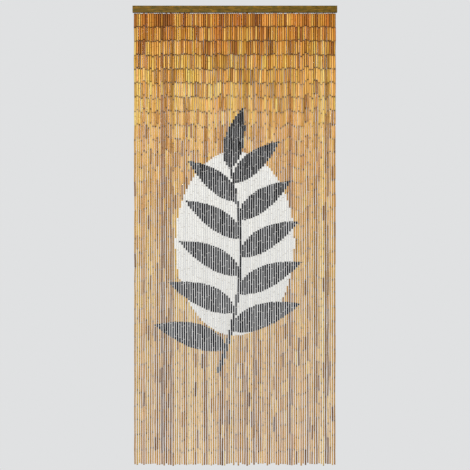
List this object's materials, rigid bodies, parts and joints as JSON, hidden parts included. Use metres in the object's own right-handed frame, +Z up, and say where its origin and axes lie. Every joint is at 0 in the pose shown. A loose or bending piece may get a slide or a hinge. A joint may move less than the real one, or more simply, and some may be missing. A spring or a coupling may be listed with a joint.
{
  "type": "bamboo door curtain with header rail",
  "caption": "Full-height door curtain: a slim wooden header rail from which a close row of strands of natural bamboo tubes hangs free, painted with a white oval and a dark leaf sprig.",
  "frame": {"origin": "centre of the rail's flat back face, which goes against the door frame", "axes": "+Z up, +Y into the door frame, so the front faces -Y and +X is to the right seen from the front"},
  "size_m": [0.9, 0.018, 2.0219],
  "materials": {
    "rail_wood": "olive brown stained lath, satin",
    "natural_bamboo": "natural varnished bamboo cane, warm orange brown at the top and paler further down",
    "white_paint": "white paint on bamboo, matt",
    "charcoal_paint": "dark grey paint on bamboo, matt",
    "link_wire": "bright steel wire, slightly dull"
  },
  "bodies": {
    "root": {"header_rail": "rail_wood", "bamboo_strands": "natural_bamboo"}
  },
  "joints": []
}
